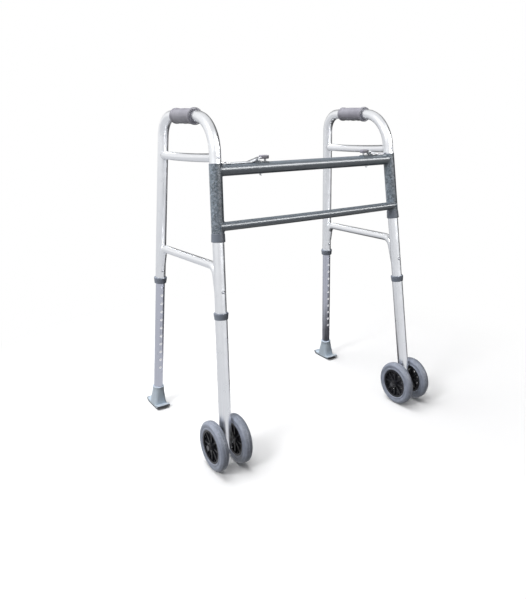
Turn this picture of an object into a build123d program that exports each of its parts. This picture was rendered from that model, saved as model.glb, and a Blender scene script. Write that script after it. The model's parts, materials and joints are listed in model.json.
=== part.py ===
"""Extra-wide folding walking frame with two release levers, twin front wheels and rear glides.

Frame: X across the frame, Y rearwards to the user, Z up.  The origin is on the floor in the middle
of the footprint.  Every paired piece is modelled on the +X side ("right", seen from the front) and
mirrored about X = 0 for the "left" one.
"""

import os
from math import cos, radians, sin

from build123d import *

# ---------------------------------------------------------------- driving dimensions (mm)

# stance
bar_half_span = 280.0  # centre of the frame to a front leg's axis, at the upper crossbar
bar_place = -127.27  # Y of the upper crossbar, which puts the origin mid-footprint
upper_bar_height = 736.0
lower_bar_height = 604.0
handle_height = 861.0  # centre of the handle tube above the floor
rear_leg_gap = 295.0  # front leg axis to rear leg axis, at the upper crossbar
splay = 2.95  # degrees each side frame leans outwards going down
toe = 1.5  # degrees each side frame opens outwards going back
front_rake = 0.0998  # forward run of a front leg per unit of drop
rear_rake = 0.0663  # rearward run of a rear leg per unit of drop
front_bend = 92.0
rear_bend = 57.0

# tubes
side_tube_radius = 14.3
side_tube_bore = 13.2
leg_radius = 13.0  # telescoping lower legs
leg_bore = 11.5
stem_radius = 15.3  # wide part of a wheel stem, below the side tube
stem_spigot_inset = 40.0  # how far the stem's telescoping part reaches down into its wide part
liner_wall = 0.8  # pale sleeve behind the rear leg's holes
upper_bar_radius = 14.5
lower_bar_radius = 11.1
bar_wall = 2.0
lower_bar_bow = 6.0
lower_bar_lead = 7.0  # sleeve axis forward to the bar's axis, at the bar's ends
brace_radius = 10.6
brace_wall = 1.5
brace_sag = 2.5
upper_brace_front = 766.0
upper_brace_rear = 756.5
lower_brace_front_top = 505.0
lower_brace_rear_top = 496.0
lower_brace_bend = 28.0
lower_brace_front_inset = 18.0  # leg axis to brace axis at the top of its tail
lower_brace_rear_inset = 18.0
lower_brace_front_tail_inset = 5.0  # the same at the tail's end, where the brace dies into the leg
lower_brace_rear_tail_inset = 8.0
lower_brace_front_end = 428.0
lower_brace_rear_end = 446.0
lower_brace_hollow = 200.0  # length of the brace's open middle; its ends are crushed solid

# sleeves that carry the side frames
sleeve_radius = 15.8
sleeve_bore = 14.9
sleeve_top = 751.0
sleeve_bottom = 588.0
bushing_bore = side_tube_radius + 0.05
bushing_length = 30.0
bushing_flange = 1.0
thrust_collar_radius = 17.2
thrust_collar_top_radius = 16.5
thrust_collar_height = 20.0
running_gap = 0.3

# height adjustment
hole_pitch = 25.4
snap_radius = 3.9
snap_hole_radius = 4.1
snap_dome = 4.0
snap_dome_round = 3.4
snap_head_thickness = 1.6  # the button's flange inside the leg
clip_thickness = 0.8
clip_half_width = 3.0
clip_drop = 34.0
clip_seat = 5.0  # half length of the clip's flat behind the button
front_snap_height = 446.5
rear_hole_lowest = 125.3
rear_hole_count = 17
rear_snap_index = 12
front_holes_above = 6
front_collar_base = 378.0
rear_collar_base = 391.0
leg_collar_radius = 18.2
leg_collar_base_radius = 16.8
leg_collar_height = 16.5
leg_collar_lip = 3.0
collar_edge = 1.2
front_leg_top = 618.0
rear_leg_top = 556.0

# wheels
wheel_radius = 63.5
wheel_offset = 33.0  # leg axis to the middle of each of the twin wheels
tyre_width = 24.0
tyre_shoulder = 7.5
tyre_lip = 1.2
tread_groove_place = 3.4
tread_groove_width = 1.0
tread_groove_depth = 0.9
rim_radius = 42.5
rim_inner = 37.5
rim_half = 10.5
web_half = 2.5
rib_half = 8.0
boss_radius = 11.5
boss_half = 12.0
spoke_count = 8
spoke_width = 3.6
short_rib_width = 2.0
short_rib_length = 6.0
hub_hole_radius = 4.0
hub_hole_ring = 26.0  # wheel axis to the centres of the holes between the spokes
axle_radius = 4.0
axle_clearance = 0.05
axle_sleeve_radius = 5.5
axle_shoulder_radius = 8.0
washer_radius = 8.0
washer_thickness = 1.5
axle_head_radius = 7.2
axle_head_height = 5.0
axle_head_edge = 0.8
axle_nut_height = 6.5
axle_overhang = 8.0  # bolt end beyond its washer
stem_end_height = 49.0

# rear glides
cup_height = 62.0
cup_top_radius = 16.0
cup_rim_radius = 16.9
cup_rim_height = 5.0
cup_base_half_length = 24.0
cup_base_corner = 9.0
ski_half_width = 19.0
ski_half_flat = 27.0
ski_bend = 21.0
ski_turn_up = 56.0
sole_thickness = 3.5
ski_thickness = 5.0
rear_leg_end = 16.0

# grips
grip_start = 103.5
grip_end = 211.5
grip_radius = 19.0
grip_ring_radius = 21.5
grip_ring_width = 9.0

grip_ring_edge = 1.2
grip_crown = 0.8

# release levers: reach is from the leg axis to the end of the palm pad
lever_reach_left = 148.0
lever_reach_right = 107.0
lever_half_width = 6.0
lever_thickness = 2.2
lever_tip = 16.2  # leg axis to the fork's end
fork_slot = 9.5
joggle_start = 32.0  # leg axis to where the strap steps down from the fork to the bar
joggle_end = 40.0
strap_rise_start = 27.0  # pivot to where the strap starts to rise to the pad
web_drop = 3.0  # pivot down to the underside of the web below the rising strap
lever_strap_height = 751.8
lever_fork_height = 753.3
pad_half_width = 8.5
pad_length = 25.0
pad_height = 762.0
pad_half_thickness = 4.4
pad_wrap = 3.0  # pad beyond the strap's end
pad_round = 2.4
pivot_back = 33.0  # pad end to pivot
screw_back = 22.0  # pad end to bracket screw
spring_back = 9.0  # pad end to spring
spring_radius = 2.6
spring_wire_radius = 0.5
spring_turns = 3
screw_radius = 2.0
screw_head_radius = 3.6
screw_nut_radius = 4.2  # across its corners, halved
screw_tail = 1.7  # screw's end below its nut
screw_clearance = 0.1
screw_head_height = 1.6
screw_nut_height = 3.4
bracket_plate = 1.0  # bracket's thickness on top of the crossbar
bracket_gap = 0.2  # lever's edge to an ear
ear_radius = 4.2
pivot_height = 757.0
pivot_pin_radius = 2.0
pivot_head_radius = 3.0
pin_head = 1.0
ear_thickness = 1.8
peg_radius = 1.8
peg_height = 754.5
peg_reach = 6.3  # fork's end to the peg's end
peg_gap = 0.9  # fork to the peg
stop_rivet_height = 766.0
rivet_head_radius = 3.4
rivet_head_height = 1.6
rivet_tail = 1.0  # peg and rivet inside the tube

# ---------------------------------------------------------------- planes of the right-hand side

rearwards = Vector(sin(radians(toe)), cos(radians(toe)), 0)
outwards = Vector(
    cos(radians(toe)) * cos(radians(splay)),
    -sin(radians(toe)) * cos(radians(splay)),
    sin(radians(splay)),
)
side_plane = Plane((bar_half_span, bar_place, upper_bar_height), x_dir=rearwards, z_dir=outwards)


def rise(height):
    """Distance up the side frame's plane from the upper crossbar to a height above the floor."""
    return (height - upper_bar_height) / cos(radians(splay))


def front_run(up):
    """Place of the front leg axis, rearwards in the side plane, at a rise."""
    return front_rake * up


def rear_run(up):
    """Place of the rear leg axis, rearwards in the side plane, at a rise."""
    return rear_leg_gap - rear_rake * up


front_axis = side_plane.from_local_coords(Vector(front_rake, 1, 0)) - side_plane.origin
rear_axis = side_plane.from_local_coords(Vector(-rear_rake, 1, 0)) - side_plane.origin
front_axis = front_axis.normalized()
rear_axis = rear_axis.normalized()


def front_leg(height):
    """Plane across the front leg at a height: x outwards, y rearwards, z up the leg."""
    up = rise(height)
    origin = side_plane.from_local_coords(Vector(front_run(up), up, 0))
    return Plane(origin, x_dir=outwards, z_dir=front_axis)


def rear_leg(height):
    """Plane across the rear leg at a height: x outwards, y rearwards, z up the leg."""
    up = rise(height)
    origin = side_plane.from_local_coords(Vector(rear_run(up), up, 0))
    return Plane(origin, x_dir=outwards, z_dir=rear_axis)


def facing_forwards(leg):
    """Plane through the leg's axis, facing forwards: x outwards, y up the leg."""
    return Plane(leg.origin, x_dir=leg.x_dir, z_dir=-leg.y_dir)


def facing_inwards(leg):
    """Plane through the leg's axis, facing the other side frame."""
    return Plane(leg.origin, x_dir=leg.y_dir, z_dir=-leg.x_dir)


def along(leg):
    """The leg's own axis."""
    return Axis(leg.origin, leg.z_dir)


def write(part, name):
    """Label one finished piece and write it."""
    part.label = name
    export_step(part, f"parts/{name}.step")


def write_pair(part, name):
    """Write the right-hand piece and its mirror image on the left."""
    write(part, f"{name}_right")
    write(mirror(part, about=Plane.YZ), f"{name}_left")


os.makedirs("parts", exist_ok=True)

# ---------------------------------------------------------------- front frame

sleeve_length = (sleeve_top - sleeve_bottom) / front_axis.Z

with BuildPart() as sleeve:
    with BuildSketch(front_leg(sleeve_bottom)):
        Circle(sleeve_radius)
        Circle(sleeve_bore, mode=Mode.SUBTRACT)
    extrude(amount=sleeve_length)
write_pair(sleeve.part, "sleeve")

with BuildPart() as sleeve_space:
    with BuildSketch(front_leg(sleeve_bottom)):
        Circle(sleeve_radius)
    extrude(amount=sleeve_length + bar_wall)
    mirror(about=Plane.YZ)

with BuildPart() as sleeve_bushings:
    for end, inwards in ((sleeve_top, -1), (sleeve_bottom, 1)):
        with BuildSketch(front_leg(end)):
            Circle(sleeve_bore)
            Circle(bushing_bore, mode=Mode.SUBTRACT)
        extrude(amount=inwards * bushing_length)
        with BuildSketch(front_leg(end)):
            Circle(sleeve_radius)
            Circle(bushing_bore, mode=Mode.SUBTRACT)
        extrude(amount=-inwards * bushing_flange)
    mirror(about=Plane.YZ)
write(sleeve_bushings.part, "sleeve_bushings")

screw_places = (
    (bar_half_span - lever_reach_right + screw_back, bar_place),
    (-bar_half_span + lever_reach_left - screw_back, bar_place),
)

with BuildPart() as upper_crossbar:
    with BuildSketch(Plane.YZ.offset(-bar_half_span)):
        with Locations((bar_place, upper_bar_height)):
            Circle(upper_bar_radius)
            Circle(upper_bar_radius - bar_wall, mode=Mode.SUBTRACT)
    extrude(amount=2 * bar_half_span)
    add(sleeve_space.part, mode=Mode.SUBTRACT)
    with Locations(Plane.XY.offset(upper_bar_height)):
        with Locations(*screw_places):
            Hole(screw_radius + screw_clearance)
write(upper_crossbar.part, "upper_crossbar")

lower_bar_end = front_leg(lower_bar_height).origin
lower_bar_ends = lower_bar_end.Y - lower_bar_lead

with BuildPart() as lower_crossbar:
    with BuildLine() as lower_bar_line:
        ThreePointArc(
            (-lower_bar_end.X, lower_bar_ends, lower_bar_height),
            (0, lower_bar_ends - lower_bar_bow, lower_bar_height),
            (lower_bar_end.X, lower_bar_ends, lower_bar_height),
        )
    lower_bar_path = lower_bar_line.wire()
    with BuildSketch(Plane(lower_bar_path @ 0, z_dir=lower_bar_path % 0)):
        Circle(lower_bar_radius)
        Circle(lower_bar_radius - bar_wall, mode=Mode.SUBTRACT)
    sweep(path=lower_bar_path)
    add(sleeve_space.part, mode=Mode.SUBTRACT)
write(lower_crossbar.part, "lower_crossbar")

# ---------------------------------------------------------------- release levers

bar_top = upper_bar_height + upper_bar_radius
bar_base = upper_bar_height - upper_bar_radius
ear_inner = lever_half_width + bracket_gap
ear_outer = ear_inner + ear_thickness
peg_place = front_leg(peg_height).origin.Y


def lever_plane(across):
    """Upright plane beside the crossbar's axis; x from the right leg's axis inwards, y height."""
    return Plane((bar_half_span, bar_place + across, 0), x_dir=(-1, 0, 0), z_dir=(0, 1, 0))


def above_bar(back, height, across=0.0):
    """Place over the upper crossbar, by its distance inwards from the right leg's axis."""
    return Plane((bar_half_span - back, bar_place + across, height))


def release_lever(reach):
    """Sprung strap that pivots on the crossbar; a fork at one end, the palm pad's core at the other."""
    pivot = reach - pivot_back
    lug_top = pad_height - lever_thickness
    with BuildPart() as lever:
        with BuildSketch(lever_plane(-lever_half_width)):
            with BuildLine() as strap_line:
                Polyline(
                    (lever_tip, lever_fork_height),
                    (joggle_start, lever_fork_height),
                    (joggle_end, lever_strap_height),
                    (pivot - strap_rise_start, lever_strap_height),
                    (pivot + lever_thickness, pad_height - lever_thickness / 2),
                    (reach - pad_length - lever_thickness / 2, pad_height),
                    (reach - pad_wrap, pad_height),
                )
            trace(strap_line.line, lever_thickness)
        extrude(amount=2 * lever_half_width)
        with BuildSketch(lever_plane(ear_thickness - lever_half_width)):
            with Locations((pivot, pivot_height)):
                Circle(2 * pivot_pin_radius)
            with Locations((pivot, (pivot_height + lug_top) / 2)):
                Rectangle(4 * pivot_pin_radius, lug_top - pivot_height)
            with BuildLine():
                Polyline(
                    (pivot - strap_rise_start, lever_strap_height),
                    (pivot, lug_top),
                    (pivot, pivot_height),
                    (pivot - 2 * pivot_pin_radius, pivot_height - web_drop),
                    close=True,
                )
            make_face()
        extrude(amount=2 * (lever_half_width - ear_thickness))
        with BuildSketch(lever_plane(-lever_half_width)):
            with Locations((pivot, pivot_height)):
                Circle(pivot_pin_radius + axle_clearance)
        extrude(amount=2 * lever_half_width, mode=Mode.SUBTRACT)
        rear_prong = peg_place - bar_place + peg_radius + peg_gap
        slot_width = rear_prong + 2 * lever_half_width
        slot_middle = above_bar(lever_tip + fork_slot / 2, lever_fork_height, rear_prong - slot_width / 2)
        with BuildSketch(slot_middle):
            Rectangle(fork_slot, slot_width)
        extrude(amount=2 * lever_thickness, both=True, mode=Mode.SUBTRACT)
    return lever.part


def lever_pad(reach):
    """Moulded palm pad that wraps the lever's inner end."""
    with BuildPart() as pad:
        with BuildSketch(above_bar(reach - pad_length / 2, pad_height - pad_half_thickness)):
            SlotCenterToCenter(pad_length - 2 * pad_half_width, 2 * pad_half_width)
        extrude(amount=2 * pad_half_thickness)
        fillet(pad.edges().filter_by(GeomType.LINE, reverse=True).group_by(Axis.Z)[-1], pad_round)
        with BuildSketch(above_bar(reach - pad_length, pad_height)):
            Rectangle(2 * (pad_length - pad_wrap), 2 * lever_half_width)
        extrude(amount=lever_thickness / 2, both=True, mode=Mode.SUBTRACT)
    return pad.part


def lever_bracket(reach):
    """Saddle on the crossbar with two ears that hold the lever's pivot pin."""
    pivot = reach - pivot_back
    start = pivot - 2 * ear_radius
    end = reach - pad_wrap
    with BuildPart() as bracket:
        with BuildSketch(above_bar((start + end) / 2, bar_top + bracket_plate)):
            Rectangle(end - start, 2 * ear_outer)
        extrude(amount=-4 * bracket_plate)
        for across in (-ear_outer, ear_inner):
            with BuildSketch(lever_plane(across)):
                with Locations((pivot, pivot_height)):
                    Circle(ear_radius)
                with Locations((pivot, (pivot_height + bar_top) / 2)):
                    Rectangle(2 * ear_radius, pivot_height - bar_top)
            extrude(amount=ear_thickness)
        with BuildSketch(Plane.YZ.offset(bar_half_span - reach)):
            with Locations((bar_place, upper_bar_height)):
                Circle(upper_bar_radius)
        extrude(amount=reach, mode=Mode.SUBTRACT)
        with BuildSketch(lever_plane(-ear_outer)):
            with Locations((pivot, pivot_height)):
                Circle(pivot_pin_radius)
        extrude(amount=2 * ear_outer, mode=Mode.SUBTRACT)
        with Locations((bar_half_span - reach + screw_back, bar_place, bar_top)):
            Hole(screw_radius + screw_clearance)
    return bracket.part


def pivot_pin(reach):
    """Pin through the bracket's ears and the lever, with a head at each end."""
    with BuildPart() as pin:
        for start, end, radius in (
            (-ear_outer, ear_outer, pivot_pin_radius),
            (ear_outer, ear_outer + pin_head, pivot_head_radius),
            (-ear_outer - pin_head, -ear_outer, pivot_head_radius),
        ):
            with BuildSketch(lever_plane(start)):
                with Locations((reach - pivot_back, pivot_height)):
                    Circle(radius)
            extrude(amount=end - start)
    return pin.part


def bracket_screw(reach):
    """Screw down through the bracket and the crossbar, and its nut under the bar."""
    back = reach - screw_back
    head_base = bar_top + bracket_plate
    with BuildPart() as screw:
        with BuildSketch(above_bar(back, head_base)):
            Circle(screw_radius)
        extrude(amount=bar_base - screw_nut_height - screw_tail - head_base)
        with BuildSketch(above_bar(back, head_base)):
            Circle(screw_head_radius)
        extrude(amount=screw_head_height)
    with BuildPart() as nut:
        with BuildSketch(above_bar(back, bar_base - screw_clearance)):
            RegularPolygon(screw_nut_radius, 6)
            Circle(screw_radius, mode=Mode.SUBTRACT)
        extrude(amount=-screw_nut_height)
    return [screw.part.solid(), nut.part.solid()]


def lever_spring(reach):
    """Coil that pushes the pad up."""
    base = bar_top + bracket_plate + spring_wire_radius + screw_clearance
    top = pad_height - pad_half_thickness - spring_wire_radius - screw_clearance
    with BuildPart() as spring:
        with BuildLine(above_bar(reach - spring_back, base)) as coil:
            Helix(pitch=(top - base) / spring_turns, height=top - base, radius=spring_radius)
        with BuildSketch(Plane(coil.line @ 0, z_dir=coil.line % 0)):
            Circle(spring_wire_radius)
        sweep(path=coil.line, is_frenet=True)
    return spring.part


def on_left(part):
    """Mirror a right-hand piece to the left-hand side."""
    return mirror(part, about=Plane.YZ)


write(release_lever(lever_reach_right), "release_lever_right")
write(on_left(release_lever(lever_reach_left)), "release_lever_left")
write(lever_pad(lever_reach_right), "lever_pad_right")
write(on_left(lever_pad(lever_reach_left)), "lever_pad_left")
write(
    Compound([lever_bracket(lever_reach_right).solid(), on_left(lever_bracket(lever_reach_left)).solid()]),
    "lever_brackets",
)
fixings_right = [pivot_pin(lever_reach_right).solid()] + bracket_screw(lever_reach_right)
fixings_left = [pivot_pin(lever_reach_left).solid()] + bracket_screw(lever_reach_left)
write(Compound(fixings_right + [on_left(piece) for piece in fixings_left]), "lever_fixings")
write(
    Compound([lever_spring(lever_reach_right).solid(), on_left(lever_spring(lever_reach_left)).solid()]),
    "lever_springs",
)

# ---------------------------------------------------------------- side frame

handle_rise = rise(handle_height)
front_end = rise(front_collar_base + leg_collar_lip)
rear_end = rise(rear_collar_base + leg_collar_lip)

with BuildPart() as side_tube:
    with BuildLine(side_plane) as hoop:
        FilletPolyline(
            (front_run(front_end), front_end),
            (front_run(handle_rise), handle_rise),
            (rear_run(handle_rise), handle_rise),
            (rear_run(rear_end), rear_end),
            radius=(front_bend, rear_bend),
        )
    with BuildSketch(Plane(hoop.wire() @ 0, z_dir=hoop.wire() % 0)):
        Circle(side_tube_radius)
        Circle(side_tube_bore, mode=Mode.SUBTRACT)
    sweep(path=hoop.wire())
    rear_snap_height = rear_hole_lowest + rear_snap_index * hole_pitch
    for leg in (front_leg(front_snap_height), rear_leg(rear_snap_height)):
        with BuildSketch(facing_forwards(leg)):
            Circle(snap_hole_radius)
        extrude(amount=2 * side_tube_radius, mode=Mode.SUBTRACT)
    with BuildSketch(facing_inwards(front_leg(peg_height))):
        Circle(peg_radius)
    extrude(amount=2 * side_tube_radius, mode=Mode.SUBTRACT)
    with BuildSketch(facing_forwards(front_leg(stop_rivet_height))):
        Circle(peg_radius)
    extrude(amount=2 * side_tube_radius, mode=Mode.SUBTRACT)
write_pair(side_tube.part, "side_tube")

with BuildPart() as tube_rivets:
    for plane, reach in (
        (facing_inwards(front_leg(peg_height)), lever_tip + peg_reach),
        (facing_forwards(front_leg(stop_rivet_height)), side_tube_radius + rivet_head_height),
    ):
        with BuildSketch(plane.offset(side_tube_bore - rivet_tail)):
            Circle(peg_radius)
        extrude(amount=reach - side_tube_bore + rivet_tail)
    with BuildSketch(facing_forwards(front_leg(stop_rivet_height)).offset(side_tube_radius)):
        Circle(rivet_head_radius)
    extrude(amount=rivet_head_height)
write_pair(tube_rivets.part, "tube_rivets")

with BuildPart() as upper_brace:
    front_up = rise(upper_brace_front)
    rear_up = rise(upper_brace_rear)
    with BuildLine(side_plane) as upper_brace_line:
        ThreePointArc(
            (front_run(front_up), front_up),
            ((front_run(front_up) + rear_run(rear_up)) / 2, (front_up + rear_up) / 2 - brace_sag),
            (rear_run(rear_up), rear_up),
        )
    upper_brace_path = upper_brace_line.wire()
    with BuildSketch(Plane(upper_brace_path @ 0, z_dir=upper_brace_path % 0)):
        Circle(brace_radius)
        Circle(brace_radius - brace_wall, mode=Mode.SUBTRACT)
    sweep(path=upper_brace_path)
    for leg in (front_leg(upper_brace_rear), rear_leg(upper_brace_rear)):
        with BuildSketch(leg):
            Circle(side_tube_radius)
        extrude(amount=4 * brace_radius, both=True, mode=Mode.SUBTRACT)
write_pair(upper_brace.part, "upper_brace")

with BuildPart() as lower_brace:
    front_low = rise(lower_brace_front_end)
    rear_low = rise(lower_brace_rear_end)
    front_top = rise(lower_brace_front_top)
    rear_top = rise(lower_brace_rear_top)
    with BuildLine(side_plane) as lower_brace_line:
        FilletPolyline(
            (front_run(front_low) + lower_brace_front_tail_inset, front_low),
            (front_run(front_top) + lower_brace_front_inset, front_top),
            (rear_run(rear_top) - lower_brace_rear_inset, rear_top),
            (rear_run(rear_low) - lower_brace_rear_tail_inset, rear_low),
            radius=lower_brace_bend,
        )
    lower_brace_path = lower_brace_line.wire()
    with BuildSketch(Plane(lower_brace_path @ 0, z_dir=lower_brace_path % 0)):
        Circle(brace_radius)
    sweep(path=lower_brace_path)
    with BuildSketch(Plane(lower_brace_path @ 0.5, z_dir=lower_brace_path % 0.5)):
        Circle(brace_radius - brace_wall)
    extrude(amount=lower_brace_hollow / 2, both=True, mode=Mode.SUBTRACT)
    for leg in (front_leg(lower_brace_rear_end), rear_leg(lower_brace_rear_end)):
        with BuildSketch(leg):
            Circle(side_tube_radius)
        extrude(amount=8 * brace_radius, both=True, mode=Mode.SUBTRACT)
write_pair(lower_brace.part, "lower_brace")

with BuildPart() as thrust_collar:
    collar_leg = front_leg(sleeve_bottom - bushing_flange - running_gap)
    with BuildSketch(facing_forwards(collar_leg)):
        with BuildLine():
            Polyline(
                (side_tube_radius, 0),
                (thrust_collar_top_radius, 0),
                (thrust_collar_radius, -0.8 * thrust_collar_height),
                (thrust_collar_radius, -thrust_collar_height),
                (side_tube_radius, -thrust_collar_height),
                close=True,
            )
        make_face()
    revolve(axis=along(collar_leg))
    fillet(thrust_collar.edges().filter_by(GeomType.CIRCLE).group_by(SortBy.RADIUS)[-1], collar_edge)
write_pair(thrust_collar.part, "thrust_collar")

with BuildPart() as leg_collars:
    for base in (front_leg(front_collar_base), rear_leg(rear_collar_base)):
        bore = leg_radius + 2 * axle_clearance
        with BuildSketch(facing_forwards(base)):
            with BuildLine():
                Polyline(
                    (bore, 0),
                    (leg_collar_base_radius, 0),
                    (leg_collar_radius, 0.75 * leg_collar_height),
                    (leg_collar_radius, leg_collar_height),
                    (side_tube_radius, leg_collar_height),
                    (side_tube_radius, leg_collar_lip),
                    (bore, leg_collar_lip),
                    close=True,
                )
            make_face()
        revolve(axis=along(base))
    fillet(leg_collars.edges().filter_by(GeomType.CIRCLE).group_by(SortBy.RADIUS)[-1], collar_edge)
write_pair(leg_collars.part, "leg_collars")

with BuildPart() as hand_grip:
    with BuildSketch(side_plane):
        with BuildLine():
            waist_start = grip_start + grip_ring_width
            waist_end = grip_end - grip_ring_width
            inner = handle_rise + side_tube_radius
            waist = handle_rise + grip_radius
            ring = handle_rise + grip_ring_radius
            Polyline(
                (waist_start, waist),
                (waist_start - grip_ring_edge, ring),
                (grip_start, ring),
                (grip_start, inner),
                (grip_end, inner),
                (grip_end, ring - grip_ring_edge),
                (waist_end + grip_ring_edge, ring - grip_ring_edge),
                (waist_end, waist),
            )
            ThreePointArc(
                (waist_end, waist),
                ((waist_start + waist_end) / 2, waist + grip_crown),
                (waist_start, waist),
            )
        make_face()
    handle_origin = side_plane.from_local_coords(Vector(0, handle_rise, 0))
    revolve(axis=Axis(handle_origin, side_plane.x_dir))
write_pair(hand_grip.part, "hand_grip")

# ---------------------------------------------------------------- snap buttons

snap_back = leg_bore - snap_head_thickness  # leg axis to the button's inner face


def snap_button(leg):
    """Domed button that passes through both leg walls."""
    forwards = facing_forwards(leg)
    with BuildPart() as button:
        with BuildSketch(forwards.offset(snap_back)):
            Circle(snap_radius)
        extrude(amount=side_tube_radius + snap_dome - snap_back)
        rims = button.edges().filter_by(GeomType.CIRCLE)
        fillet(rims.sort_by(Axis(forwards.origin, forwards.z_dir))[-1], snap_dome_round)
    return button.part


def snap_clip(leg):
    """Bent leaf inside the lower leg that pushes the button out."""
    front = snap_back - clip_thickness / 2 - axle_clearance
    back = leg_bore - clip_thickness
    upright = Plane(leg.origin - leg.x_dir * clip_half_width, x_dir=-leg.y_dir, z_dir=leg.x_dir)
    with BuildPart() as clip:
        with BuildSketch(upright):
            with BuildLine() as leaf:
                Line((front, -clip_seat), (front, clip_seat))
                Line((front, clip_seat), (2 * clip_thickness, clip_drop))
                ThreePointArc(
                    (2 * clip_thickness, clip_drop),
                    (0, clip_drop + 2 * clip_thickness),
                    (-2 * clip_thickness, clip_drop),
                )
                Line((-2 * clip_thickness, clip_drop), (clip_thickness - back, clip_half_width))
            trace(leaf.line, clip_thickness)
        extrude(amount=2 * clip_half_width)
    return clip.part


front_snap = front_leg(front_snap_height)
rear_snap = rear_leg(rear_snap_height)
write_pair(snap_button(front_snap), "snap_button_front")
write_pair(snap_button(rear_snap), "snap_button_rear")
write_pair(snap_clip(front_snap), "snap_clip_front")
write_pair(snap_clip(rear_snap), "snap_clip_rear")

# ---------------------------------------------------------------- lower legs

axle_centre = front_leg(wheel_radius).origin
axle_line = Plane(axle_centre, x_dir=(0, 1, 0), z_dir=(1, 0, 0))

with BuildPart() as wheel_stem:
    stem_top = front_collar_base - running_gap
    spigot_start = stem_top - stem_spigot_inset
    with BuildSketch(front_leg(stem_end_height)):
        Circle(stem_radius)
        Circle(leg_radius, mode=Mode.SUBTRACT)
    extrude(amount=(stem_top - stem_end_height) / front_axis.Z)
    with BuildSketch(front_leg(spigot_start)):
        Circle(leg_radius)
        Circle(leg_bore, mode=Mode.SUBTRACT)
    extrude(amount=(front_leg_top - spigot_start) / front_axis.Z)
    for step in range(front_holes_above + 1):
        with BuildSketch(facing_forwards(front_snap.offset(step * hole_pitch))):
            Circle(snap_hole_radius)
        extrude(amount=2 * leg_radius, mode=Mode.SUBTRACT)
    with BuildSketch(axle_line):
        Circle(axle_radius + axle_clearance)
    extrude(amount=2 * stem_radius, both=True, mode=Mode.SUBTRACT)
write_pair(wheel_stem.part, "wheel_stem")

with BuildPart() as rear_leg_extension:
    with BuildSketch(rear_leg(rear_leg_end)):
        Circle(leg_radius)
        Circle(leg_bore, mode=Mode.SUBTRACT)
    extrude(amount=(rear_leg_top - rear_leg_end) / rear_axis.Z)
    for step in range(-rear_snap_index, rear_hole_count - rear_snap_index):
        with BuildSketch(facing_forwards(rear_snap.offset(step * hole_pitch))):
            Circle(snap_hole_radius)
        extrude(amount=2 * leg_radius, mode=Mode.SUBTRACT)
write_pair(rear_leg_extension.part, "rear_leg_extension")

liner_top = rear_snap_height - 2.5 * hole_pitch  # clear of the button when the leg is at its shortest
with BuildPart() as leg_liner:
    with BuildSketch(rear_leg(rear_leg_end)):
        Circle(leg_bore)
        Circle(leg_bore - liner_wall, mode=Mode.SUBTRACT)
    extrude(amount=(liner_top - rear_leg_end) / rear_axis.Z)
write_pair(leg_liner.part, "leg_liner")

foot = rear_leg(rear_leg_end).origin


def ski_layer(low, high):
    """One layer of the glide: flat in the middle and turned up at both ends."""
    side = Plane((foot.X - ski_half_width, foot.Y, 0), x_dir=(0, 1, 0), z_dir=(1, 0, 0))
    with BuildPart() as layer:
        with BuildSketch(side):
            with BuildLine():
                for end in (-1, 1):
                    start = end * ski_half_flat
                    below = JernArc((start, low), (end, 0), ski_bend - low, end * ski_turn_up)
                    above = JernArc((start, high), (end, 0), ski_bend - high, end * ski_turn_up)
                    Line(below @ 1, above @ 1)
                Line((-ski_half_flat, low), (ski_half_flat, low))
                Line((-ski_half_flat, high), (ski_half_flat, high))
            make_face()
        extrude(amount=2 * ski_half_width)
    return layer.part


with BuildPart() as glide_sole:
    add(ski_layer(0, sole_thickness))
write_pair(glide_sole.part, "glide_sole")

ski_top = sole_thickness + ski_thickness
with BuildPart() as glide_foot:
    add(ski_layer(sole_thickness, ski_top))
    with BuildSketch(Plane((foot.X, foot.Y, ski_top - sole_thickness / 2))):
        RectangleRounded(2 * ski_half_width, 2 * cup_base_half_length, cup_base_corner)
    with BuildSketch(rear_leg(cup_height - cup_rim_height)):
        Circle(cup_top_radius)
    loft()
    with BuildSketch(rear_leg(cup_height - cup_rim_height)):
        Circle(cup_rim_radius)
    extrude(amount=cup_rim_height)
    fillet(glide_foot.edges().filter_by(GeomType.CIRCLE).group_by(Axis.Z)[-1], collar_edge)
    with BuildSketch(rear_leg(rear_leg_end)):
        Circle(leg_radius)
    extrude(amount=cup_height, mode=Mode.SUBTRACT)
write_pair(glide_foot.part, "glide_foot")

# ---------------------------------------------------------------- twin wheels

axle_bore = axle_radius + axle_clearance
sleeve_end = wheel_offset + boss_half + running_gap
shoulder_start = stem_radius + 1.2
shoulder_end = wheel_offset - boss_half - running_gap
washer_end = sleeve_end + washer_thickness

with BuildPart() as axle_spacers:
    for way in (-1, 1):
        for end, radius in ((sleeve_end, axle_sleeve_radius), (shoulder_end, axle_shoulder_radius)):
            with BuildSketch(axle_line.offset(way * shoulder_start)):
                Circle(radius)
                Circle(axle_bore, mode=Mode.SUBTRACT)
            extrude(amount=way * (end - shoulder_start))
write_pair(axle_spacers.part, "axle_spacers")

with BuildPart() as axle_washers:
    for way in (-1, 1):
        with BuildSketch(axle_line.offset(way * sleeve_end)):
            Circle(washer_radius)
            Circle(axle_bore, mode=Mode.SUBTRACT)
        extrude(amount=way * washer_thickness)
write_pair(axle_washers.part, "axle_washers")

with BuildPart() as axle_bolt:
    with BuildSketch(axle_line.offset(-washer_end - axle_overhang)):
        Circle(axle_radius)
    extrude(amount=2 * washer_end + axle_overhang)
    with BuildSketch(axle_line.offset(washer_end)):
        RegularPolygon(axle_head_radius, 6)
    extrude(amount=axle_head_height)
    chamfer(axle_bolt.faces().sort_by(Axis.X)[-1].edges(), axle_head_edge)
write_pair(axle_bolt.part, "axle_bolt")

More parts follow.
